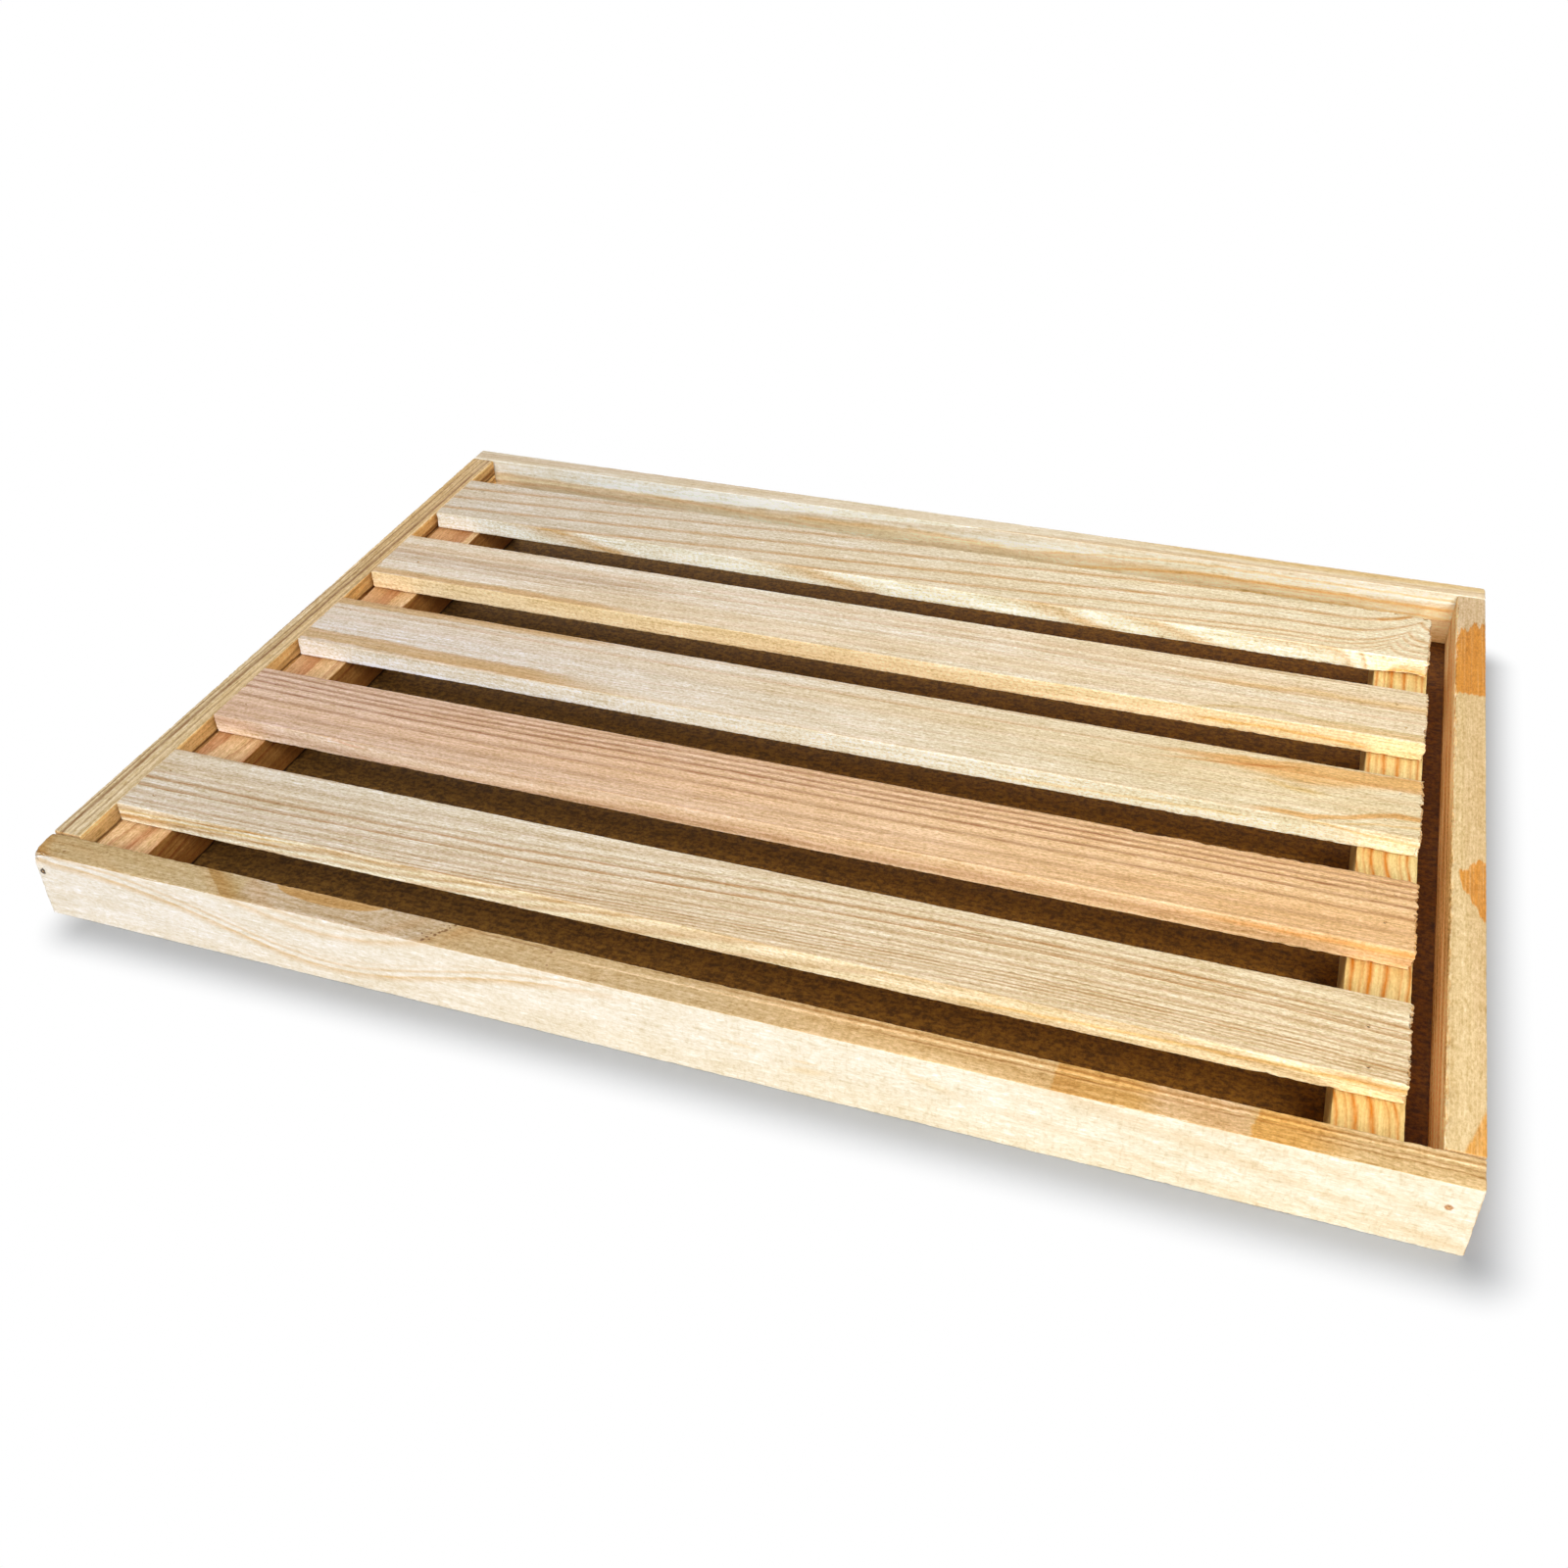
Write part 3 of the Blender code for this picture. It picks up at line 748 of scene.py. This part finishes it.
leftRail = {
    "chips": (0.3, 0.4, 0.3, 0.3), "seed": 3.0, "pale": (226, 205, 163), "line": (132, 90, 40),
    "warm": (214, 183, 126), "pith": (60, -22), "tilt": (-0.018, 0),
    "bends": [(-60, 40, 0.6, 0), (60, 40, -0.6, 0)], "ring": 3, "wander": 0.4, "grainSeed": 8.0,
    "faceStreaks": {"top": 0.4}, "cast": ((1, 1, 1), (1.04, 0.95, 0.84)),
    # painted light: the inner face made lighter
    "faces": {"right": (1.45, 1.26, 0.92)},
    "rings": [{"lines": [
        (-0.4, 1.5, 1), (1.5, 0.8, 0.8), (-3.4, 0.8, 0.6), (4.1, 0.6, 0.8), (-1.8, 0.4, 0.3),
        (2.8, 0.4, 0.35), (-5, 0.4, 0.3)]}],
    "patches": {"right": [
        # painted shadow: a dark line along the inner face where the batten meets it
        streak([(-140, 5.8), (140, 5.8)], 0.9, (0.3, 0.22, 0.16), soft=0.3),
    ]},
}
rightRail = {
    "chips": (0.3, 0.2, 0.3, 0.35), "seed": 4.0, "torn": [(-125, 125, 4.75, 11.75, 90, 1.2, 0.8)],
    "pale": (233, 203, 148), "line": (190, 142, 90), "warm": (226, 192, 136), "pith": (-20, -70),
    "tilt": (0.005, 0.01), "ring": 4, "lineStrength": 0.2, "grainSeed": 11.0, "grit": 0.55,
    # painted light: the inner face made lighter
    "cast": plainCast, "faces": {"left": (1.33, 1.2, 1)}, "faceStreaks": {"left": 1.7},
    "faceGrit": {"left": 0.4}, "fibre": 0.2, "mottle": 0.08,
    "patches": {"left": [
        # painted highlight along the top of the inner face; below it, a slightly darker band
        streak([(-140, 10.4), (140, 10.4)], 1.8, (1.15, 1.28, 1.5), streaky=0.7, wobble=2.5),
        streak([(-140, 2), (140, 2)], 8, (0.94, 0.88, 0.84), soft=3, wobble=3),
    ], "top": [
        cornerPatch([(-134, -6), (-116.5, -5), (-134, 0.8)], (0.96, 0.62, 0.24), soft=0.4, fray=3, streaky=0.5,
              wobble=0.5),
        cornerPatch([(-51, -6.5), (-23, -6.5), (-20.5, -2.5), (-28, 2.6), (-33, 2), (-42, -2.2)],
              (0.93, 0.54, 0.16), soft=0.35, fray=8, streaky=0.7, wobble=0.6),
        cornerPatch([(67.5, -7), (117, -7), (105, 7), (67.5, 7)], (0.93, 0.53, 0.14), softs=[1, 0.5, 1, 0.7],
              frays=[0, 14, 0, 3], streaky=0.55),
        cornerPatch([(108, -7), (140, -7), (140, 7), (108, 7)], (0.93, 0.94, 1.1), softs=[1, 1, 1, 2.5],
              frays=[0, 0, 0, 14]),
    ]},
}
makeBoard("front_rail", "tray", "x", frontRail,
          [("right", "corner_brad_front_left"), ("right", "corner_brad_front_right")], rebateBox)
makeBoard("back_rail", "tray", "x", backRail,
          [("left", "corner_brad_back_left"), ("left", "corner_brad_back_right")], rebateBox)
makeBoard("left_rail", "tray", "y", leftRail, (), rebateBox)
makeBoard("right_rail", "tray", "y", rightRail, (), rebateBox)


# Battens and slats of the lift-out grid

leftBatten = {
    "seed": 5.0, "pale": (228, 191, 141), "line": (178, 110, 58), "warm": (216, 163, 101),
    "pith": (12, -50), "tilt": (-0.09, 0), "bends": [(-60, 50, -4.5, 0)], "ring": 2.4, "grainSeed": 14.0,
    # painted shade: the inner side face made darker, as it lies under the slats
    "faces": {"right": (0.6, 0.42, 0.2)}, "cast": plainCast,
    "rings": [{"lines": [
        (-11, 2.2, 0.8), (-4.2, 1.2, 0.6), (3, 1.6, 0.75), (7.5, 1, 0.7), (-18.5, 1.6, 0.6)]}],
    "patches": {"right": [
        # painted shadow: a dark line along the foot of the side face, by the panel
        streak([(-140, -7.7), (140, -7.7)], 1.1, (0.1, 0.07, 0.05), soft=0.3),
        # painted shade: a darker band on the side face
        streak([(-140, -5), (140, -5)], 7, (0.66, 0.55, 0.4), soft=1.6, wobble=3, streaky=0.3),
    ]},
}
rightBatten = {
    "seed": 6.0, "pale": (240, 213, 145), "line": (214, 128, 28), "warm": (242, 198, 114),
    "pith": (34, -12), "bends": [(-106, 4, 1.6, 0, 0), (-10, 9, 1.6, 0), (-60, 8, -0.7, 0)], "ring": 1.6,
    "lineStrength": 0.3, "wander": 0.5, "grainSeed": 17.0, "cast": plainCast, "grit": 0.3, "fleck": 0.15,
    "spark": 0.4, "fibre": 0.24, "endTone": (226, 182, 110),
    "rings": [{"lines": [
        (-7, 0.8, 0.9), (-5, 0.6, 0.6), (-1.3, 1.3, 1), (2.8, 1.3, 1), (4.9, 0.6, 0.6), (7.2, 0.9, 0.9)]}],
}
makeBoard("left_batten", "grid", "y", leftBatten)
makeBoard("right_batten", "grid", "y", rightBatten)
# painted light: each slat's front face is made lighter by its face gain
slatBase = {
    "slot": "planed_pine", "arris": (0.35, 0.4, 0.35, 0.4), "chips": (0.3, 0.12, 0.28, 0.18), "hole": 0.7,
    "tornEnds": (0.3, 1.5), "splinters": 9, "alongPitch": 0.8, "acrossPitch": 0.6,
}
# painted light: the left part of each slat's front face made lighter and cooler
frontLeftLight = cornerPatch([(-200, -4), (-60, -4), (-60, 4), (-200, 4)], (1.06, 1.11, 1.14), softs=[1, 60, 1, 1])
slat1 = {
    "seed": 11.0, "torn": [(150, 188, -14.8, -3.3, 9, 0.7, 0.3)], "pale": (224, 210, 185),
    "line": (174, 126, 68), "warm": (217, 192, 152), "warmShare": 0.6,
    "bends": [(90, 140, 9.5, 0), (-112, 10, 0.35, 0), (-60, 14, -0.3, 0), (150, 20, 0.4, 0)], "ring": 1.3,
    "lineStrength": 0.16, "faces": {"right": (1.24, 1.3, 1.3)}, "grainSeed": 20.0, "bands": 0.2,
    "cast": ((0.96, 0.985, 1.04), (1.18, 1.12, 0.94)),
    "rings": [
        {"lines": [
            (13.9, 2.4, 0.5), (6.2, 3, 0.3), (2, 1.1, 0.5), (-1, 1.4, 0.85), (-5.2, 1.9, 0.85),
            (-8.2, 2.6, 0.5), (-11.7, 1.4, 0.6), (-13.2, 0.7, 0.6), (-15.4, 0.8, 0.75), (-16.6, 0.9, 0.85),
            (-17.8, 0.6, 0.7), (-19.1, 0.7, 0.7), (-20.4, 0.8, 0.7), (-22.4, 1.6, 0.55), (-24.5, 1.4, 0.5),
            (-27, 1.6, 0.5)]},
        {"along": (40, 300), "lines": [(-3.1, 0.6, 0.7), (-4.1, 0.5, 0.7)]},
    ],
    "patches": {"right": [
        frontLeftLight,
        streak([(-187, -1.2), (-150, 0.8), (-105, 3)], 0.8, (0.84, 0.66, 0.4), soft=0.4, fades=(1, 30)),
        streak([(-187, 0.6), (-150, 2.2), (-130, 3.4)], 0.6, (0.88, 0.74, 0.52), soft=0.4, fades=(1, 8)),
        streak([(60, -1.4), (120, 0.4), (190, 1.2)], 1, (0.97, 0.8, 0.52), fades=(30, 1)),
    ]},
}
slat2 = {
    "slot": "pink_pine", "seed": 12.0,
    "torn": [(105, 186, 14.8, 3.3, 26, 0.8, 0.7), (150, 188, -14.8, -3.3, 12, 0.7, 0.3)],
    "pale": (223, 192, 165), "line": (150, 92, 48), "warm": (214, 174, 136),
    "bends": [(-200, 40, 0.9, 0), (-90, 60, -1.5, 0)], "ring": 1.7, "lineStrength": 0.25,
    "cast": ((0.99, 1.01, 1.04), (1.25, 1.17, 0.83)), "faces": {"right": (1.17, 1.24, 1.3)},
    "grainSeed": 23.0,
    "rings": [{"lines": [
        (14.2, 1.1, 0.5), (11.9, 1.2, 0.8), (9.2, 1.2, 0.8), (6.6, 1.2, 0.85), (2.9, 1.2, 0.8),
        (-1.9, 1.4, 0.6), (-8.3, 2.4, 0.4), (-11.5, 1.4, 0.25), (-14, 1.2, 0.4), (-16.4, 1.4, 0.5)]}],
    "patches": {"right": [
        frontLeftLight,
        streak([(110, 1.4), (190, 1.5)], 1.4, (1, 0.78, 0.5), soft=0.9, fades=(40, 1)),
        streak([(-144, 2.8), (-126, 1)], 0.5, (0.92, 0.74, 0.62)),
    ]},
}
slat3 = {
    "seed": 13.0, "torn": [(100, 188, -14.8, -3.3, 22, 0.6, 0.3)], "pale": (220, 210, 192),
    "line": (190, 140, 80), "warm": (212, 192, 156), "ring": 5, "lineWidth": 0.3,
    "cast": ((1.05, 1.04, 1.11), (1.22, 1.13, 0.88)), "faces": {"right": (1.19, 1.32, 1.48)},
    "grainSeed": 26.0, "bands": 0.2,
    "patches": {"top": [
        streak([(-200, 12.6), (-150, 12.8), (-60, 14)], 4.2, (0.8, 0.61, 0.36), wobble=2, soft=0.8,
               fades=(1, 40), streaky=0.2),
        streak([(-200, -9.8), (-150, -10.6), (-60, -13)], 5.6, (0.8, 0.62, 0.38), wobble=2, soft=0.8,
               fades=(1, 40), streaky=0.25),
        streak([(-200, -7), (-150, -7.6), (-60, -9.6)], 0.7, (0.82, 0.68, 0.5), wobble=2, soft=0.4,
               fades=(1, 40)),
        cornerPatch([(126, 5.5), (150, 2.5), (190, 9.2), (190, 13.8), (155, 13.6), (110, 9.5)],
              (0.95, 0.68, 0.38), softs=[2, 2.4, 0.8, 0.5, 0.8, 6], wobble=2, streaky=0.3),
        streak([(100, 4), (131, 7), (160, 12.4)], 1.2, (0.86, 0.64, 0.42), fades=(20, 20)),
        streak([(132, -13.2), (155, -12.8), (163, -11), (170, -7.8), (177, -5.4), (190, -6)], 2.2,
               (0.93, 0.66, 0.38), soft=0.5, wobble=1.6, fades=(14, 1)),
        streak([(160, -15), (172, -11), (190, -9.2)], 1.1, (0.92, 0.78, 0.54), soft=0.5, fades=(6, 1)),
        streak([(134, 1.8), (160, -1.2)], 2.4, (0.95, 0.84, 0.6), soft=1.2, wobble=4, streaky=0.6),
        streak([(132, -9), (150, -5), (166, 1)], 2.6, (1.07, 1.1, 1.16), soft=1.2),
    ], "right": [
        streak([(150, 3.6), (167, 1.6), (190, 0.2)], 0.7, (0.94, 0.76, 0.5), soft=0.4),
        streak([(60, -1.5), (140, 0.8)], 0.8, (0.95, 0.82, 0.6), soft=0.5),
    ]},
}
slat4 = {
    "seed": 14.0, "torn": [(120, 188, -14.8, -3.3, 18, 0.6, 0.35)], "pale": (226, 216, 196),
    "line": (190, 142, 84), "warm": (218, 196, 158), "bends": [(10, 90, 3, 0)], "ring": 4.2,
    "lineWidth": 0.7, "lineStrength": 0.5, "cast": ((1.07, 1.06, 1.08), (1.27, 1.24, 1.14)),
    "faces": {"right": (1.2, 1.13, 0.9)}, "grainSeed": 29.0, "bands": 0.2, "ripple": 0.15,
    "patches": {"top": [
        streak([(-200, 1.5), (-140, 0.5), (-60, 4)], 8, (0.8, 0.74, 0.68), soft=3, fades=(1, 40),
               streaky=0.5),
        streak([(-200, -12.4), (-140, -12.8), (-60, -14)], 3.6, (0.84, 0.68, 0.46), soft=1, wobble=2,
               fades=(1, 40)),
        streak([(100, 2.6), (150, 4.4), (190, 4)], 3.2, (0.94, 0.82, 0.6), soft=1.2, wobble=2.5,
               fades=(30, 1), streaky=0.5),
        streak([(112, -15), (120, -12.6), (128, -10.4), (140, -9.3), (152, -10.8), (190, -10.6)], 1.3,
               (0.84, 0.76, 0.56), soft=0.7, wobble=1.5, fades=(4, 1)),
        streak([(140, -12.8), (190, -12.9)], 2.6, (0.95, 0.86, 0.66), soft=0.8, fades=(20, 1)),
        streak([(90, 13.6), (190, 12.8)], 0.4, (0.72, 0.66, 0.52), soft=0.3, fades=(30, 1)),
    ], "right": [
        streak([(112, -0.6), (140, 0), (155, -0.4), (172, -1.6)], 1, (0.96, 0.76, 0.46)),
    ]},
}
slat5 = {
    "seed": 15.0,
    "nicks": [(176, -14.8, -3.3, 4.2, 1.7), (182, -14.8, -3.3, 3, 1.2), (186, 14.8, 3.3, 3, 1.2)],
    "torn": [(120, 188, 14.8, 3.3, 16, 1.2, 0.8), (120, 188, -14.8, -3.3, 14, 0.6, 0.3)],
    "pale": (226, 213, 188), "line": (194, 146, 80), "warm": (222, 202, 164), "warmShare": 0.4,
    "cast": ((0.93, 0.935, 1), (1.26, 1.24, 1.12)), "pith": (70, -30), "tilt": (0.08, 0),
    "bends": [(160, 16, -2.2, 0), (176, 5.5, 8, 0, 0.5)], "ring": 2, "lineStrength": 0.15, "wander": 0.6,
    "faces": {"right": (1.24, 1.42, 1.62)}, "grainSeed": 32.0, "ripple": 0.18,
    "rings": [{"lines": [
        (14, 2, 0.7), (5.1, 2, 0.8), (-3.8, 2, 0.85), (-11.7, 1.8, 0.8), (-18.8, 1.6, 0.75),
        (-21.8, 1.4, 0.7), (-25.3, 1.4, 0.6), (-28.5, 1.4, 0.6), (22, 2, 0.7), (30, 2, 0.7)]}],
    "patches": {"top": [
        streak([(166, 8), (174, 11), (180, 16)], 2, (0.9, 0.72, 0.46), soft=1, fades=(2, 1)),
    ], "right": [
        streak([(170, -3.2), (177, -1.9), (186, -2.6)], 1.1, (0.95, 0.68, 0.36), soft=0.4, fades=(3, 1)),
    ]},
    "dots": [
        ("top", 182.5, 13.6, 0.9, (0.5, 0.38, 0.22)), ("top", 178.5, 14.2, 0.8, (0.55, 0.42, 0.26)),
        ("top", 173, 14.2, 0.8, (0.55, 0.42, 0.26)), ("top", 166.5, 14.3, 0.7, (0.6, 0.46, 0.3)),
        ("top", 162.5, 14.4, 0.7, (0.55, 0.42, 0.26)), ("top", 151, 14.3, 0.6, (0.74, 0.56, 0.36))],
}
for place, changes in enumerate((slat1, slat2, slat3, slat4, slat5), 1):
    node = f"slat_{place}"
    slat = {**slatBase, **changes}
    heads = [("top", f"{node}_brad_{side}_{number}") for side in ("left", "right") for number in (1, 2)]
    makeBoard(node, "grid", "x", slat, heads)


# Base panel

panelLook = {
    "dark": (82, 55, 21), "light": (152, 112, 49), "seed": 3.0,
    "cast": ((1.0, 1.0, 1.1), (1.28, 1.02, 0.5)),
    "worn": (0.176, 0.186), "gapShadeTone": (0.56, 0.46, 0.36),   # painted shade by the slat ends: darker from here on along x, in metres
}
panelShape = {
    "arris": (0.25,) * 4, "wave": 0.0, "fuzz": 0.05, "tornEnds": (0.05, 0.05), "acrossPitch": 3.0,
    "alongPitch": 3.0, "seed": 7.0,
}


def fibreboardMaterial(name, look):
    g = Graph(bpy.data.materials.new(name))
    x, y, up = g.axes(g.node("TexCoord", output="Object"))
    chips = g.cloud(x * 900, y * 900, up * 900, look["seed"], 3.0, 0.7)
    strands = g.cloud(x * 260, y * 700, up * 400, look["seed"] + 4, 2.0, 0.6)
    patch = g.cloud(x * 22, y * 22, up * 22, look["seed"] + 9, 2.0)
    share = g.step(chips * 0.6 + strands * 0.4, 0.36, 0.66)
    colour = g.mix(share, tint(*look["dark"]), tint(*look["light"]))
    colour = g.tone(colour, 0.86 + patch * 0.28)
    leftCast, rightCast = look["cast"]
    colour = g.tone(colour, g.mix(g.step(x, panelLow.x, panelHigh.x), (*leftCast, 1.0), (*rightCast, 1.0)))
    # painted shade: the panel darker in the deep gap by and beyond the slats' right ends
    colour = g.tone(colour, look["gapShadeTone"], g.step(x, *look["worn"]))
    bump = g.node("Bump", None, {"Strength": 0.4, "Distance": 0.2 * mm, "Height": chips})
    return g.finish(g.node("BsdfPrincipled", None, {
        "Base Color": colour, "Roughness": 0.62 + strands * 0.2, "Normal": bump,
        "Specular IOR Level": 0.3}))


pins = [("bottom", f"panel_pin_{number}") for number in range(1, 15)]
panel, _ = boardShape("base_panel_board", panelLow, panelHigh, "x", panelShape, pins)
dress(panel, "base_panel", "tray", fibreboardMaterial("fibreboard_brown", panelLook))


# Brads and panel pins keep their solids and get a steel finish

bradSteel = {"colour": (120, 104, 84), "rust": (92, 66, 42), "rough": 0.5}


def steelMaterial(name, look):
    g = Graph(bpy.data.materials.new(name))
    x, y, up = g.axes(g.node("TexCoord", output="Object"))
    smear = g.cloud(x * 1400, y * 1400, up * 1400, 2.0, 2.0)
    colour = g.mix(g.step(smear, 0.45, 0.7) * 0.6, tint(*look["colour"]), tint(*look["rust"]))
    return g.finish(g.node("BsdfPrincipled", None, {
        "Base Color": colour, "Metallic": 1.0, "Roughness": look["rough"] + smear * 0.2}))


steel = steelMaterial("brad_steel_grey", bradSteel)
for node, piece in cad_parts.items():
    if "brad" in node or "pin" in node:
        for held in piece.material_slots:
            held.material = steel
print("brads and pins finished")


# Floor, light and camera

stage = {
    "floorSize": 6.0,
    "floorColour": (205, 205, 205),
    "floorSeen": (0.75, 0.79, 0.85),    # how bright the camera sees the floor; under 1, a painted shadow where it does not glow
    "shadowSide": (0.0075, -0.0075),   # the floor turns plain white round a patch, grey as a painted shadow, moved this way,
    "shadowIn": 0.0075,                # is this much smaller than the board
    "glow": (0.0, 0.018),              # and fades over this distance, all in metres
    "world": 0.1,
    "lamps": {
        "key": {"place": (-0.1, -2.8, 1.4), "power": 55.6, "size": 1.65, "colour": (255, 251, 245)},
        "back": {"place": (-1.02, 1.19, 2.8), "power": 33.3, "size": 1.95, "colour": (254, 253, 255)},
        "fill": {"place": (0.8, -0.95, 1.2), "power": 15.7, "size": 0.8, "colour": (255, 253, 250)},
    },
}


def cameraSees(g):
    ray = g.node("LightPath", output="Is Camera Ray")
    seen = g.maths("MAXIMUM", ray, ray.other("Is Glossy Ray"))
    return g.maths("MAXIMUM", seen, ray.other("Is Transmission Ray"))


def makeFloor(look):
    skin = bmesh.new()
    half = look["floorSize"] / 2
    corners = [skin.verts.new((x * half, y * half, 0)) for x, y in ((-1, -1), (1, -1), (1, 1), (-1, 1))]
    skin.faces.new(corners)
    floor = addMesh("floor", skin)
    g = Graph(bpy.data.materials.new("floor_white"))
    seen = cameraSees(g)
    plain = tint(*look["floorColour"])
    lifted = tuple(part * gain for part, gain in zip(plain, look["floorSeen"])) + (1.0,)
    diffuse = g.node("BsdfDiffuse", None, {"Color": g.mix(seen, plain, lifted)})
    glow = g.node("Emission", None, {"Color": (1, 1, 1, 1), "Strength": 1.0})
    # painted shadow: by the board's front and right the floor does not glow and shows grey, darker still in
    # the real shadow
    shift = (*look["shadowSide"], 0)
    patch = (cadBox[1].x - look["shadowIn"], cadBox[1].y - look["shadowIn"], 0)
    reach = g.vectors("ABSOLUTE", g.vectors("SUBTRACT", g.node("TexCoord", output="Object"), shift))
    reach = g.vectors("MAXIMUM", g.vectors("SUBTRACT", reach, patch), (0, 0, 0))
    away = g.step(g.vectors("LENGTH", reach, output="Value"), *look["glow"]) * seen
    floor.data.materials.append(g.finish(g.node("MixShader", None, {0: away, 1: diffuse, 2: glow})))


def makeWorld(look):
    world = bpy.data.worlds.new("studio")
    bpy.context.scene.world = world
    g = Graph(world)
    strength = g.slope(cameraSees(g), 0.0, 1.0, look["world"], 1.0)
    g.finish(g.node("Background", None, {"Color": (1, 1, 1, 1), "Strength": strength}))


def makeLamps(look):
    for name, lamp in look["lamps"].items():
        data = bpy.data.lights.new(name, "AREA")
        data.shape = "DISK"
        data.size = lamp["size"]
        data.energy = lamp["power"]
        data.color = tint(*lamp["colour"])[:3]
        made = addObject(name, data)
        made.location = lamp["place"]
        made.rotation_euler = (-Vector(lamp["place"])).to_track_quat("-Z", "Y").to_euler()


cameraLook = {
    "place": (0.13299, -0.41431, 0.31666),
    "turn": (53.3154, 1.1324, 19.0097),     # degrees
    "lens": 37.11,                          # mm
    "sensor": 36,
}


def makeCamera(look):
    data = bpy.data.cameras.new("camera")
    data.lens = look["lens"]
    data.sensor_width = look["sensor"]
    data.clip_start = 0.01
    data.clip_end = 50
    made = addObject("camera", data)
    made.location = look["place"]
    made.rotation_euler = Euler([math.radians(turn) for turn in look["turn"]])
    bpy.context.scene.camera = made


makeFloor(stage)
makeWorld(stage)
makeLamps(stage)
makeCamera(cameraLook)
bpy.context.scene.view_settings.view_transform = "Standard"
print("floor, lamps and camera placed")
